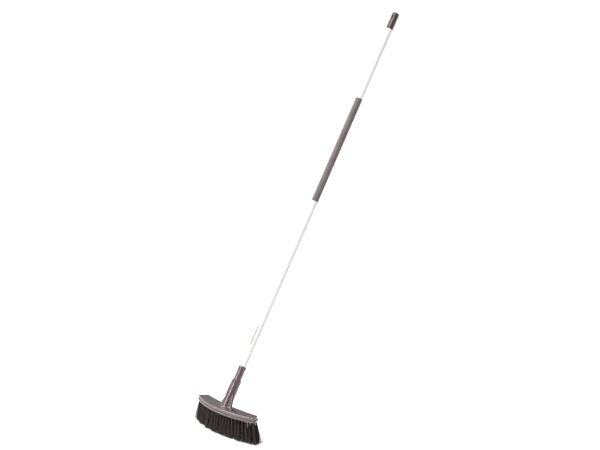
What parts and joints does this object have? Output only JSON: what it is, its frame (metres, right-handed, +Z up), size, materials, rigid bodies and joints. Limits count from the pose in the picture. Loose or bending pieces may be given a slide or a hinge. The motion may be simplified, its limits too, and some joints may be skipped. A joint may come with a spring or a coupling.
{
  "type": "push broom",
  "caption": "Push broom with a bowed head, stiff dark bristles, a leaning neck with a lock collar, and a long white tube handle with a mid grip and a hanging hole.",
  "frame": {"origin": "centre of the sweeping face, in the plane of the bristle tips", "axes": "+X along the head, +Y to the side that the handle leans to, +Z up"},
  "size_m": [0.3942, 0.8302, 1.4999],
  "materials": {
    "taupe_plastic": "satin moulded plastic, warm grey",
    "block_plastic": "satin moulded plastic, warm grey",
    "grip_sleeve": "fine matt sleeve, dark warm grey",
    "white_tube": "smooth white powder coat on an aluminium tube",
    "bristle": "stiff dark brown filaments",
    "steel": "plain zinc-plated steel"
  },
  "bodies": {
    "head": {"head_cover": "taupe_plastic", "tuft_block": "block_plastic", "bristle_row_1": "bristle", "bristle_row_2": "bristle", "bristle_row_3": "bristle", "bristle_row_4": "bristle", "bristle_row_5": "bristle", "block_screw_1": "steel", "block_screw_2": "steel", "block_screw_3": "steel", "block_screw_4": "steel"},
    "clamp_ring": {"clamp_ring": "block_plastic"},
    "collar": {"lock_collar": "taupe_plastic"},
    "handle": {"ferrule": "taupe_plastic", "ferrule_pin": "steel", "handle_tube": "white_tube", "mid_grip": "grip_sleeve", "end_cap": "taupe_plastic"}
  },
  "joints": [
    {"name": "ring_lift", "type": "slide", "parent": "head", "child": "clamp_ring", "axis": [0, 0.4848, 0.8746], "range_m": [0, 0.003]},
    {"name": "collar_turn", "type": "hinge", "parent": "clamp_ring", "child": "collar", "pos_m": [0, 0.05754, 0.17996], "axis": [0, 0.4848, 0.8746], "range_deg": [0, 360]},
    {"name": "handle_draw", "type": "slide", "parent": "head", "child": "handle", "axis": [0, 0.4848, 0.8746], "range_m": [0, 0.11]}
  ],
  "couplings": [
    {"joint": "ring_lift", "follows": "collar_turn", "m_per_rad": 0.00047746}
  ]
}
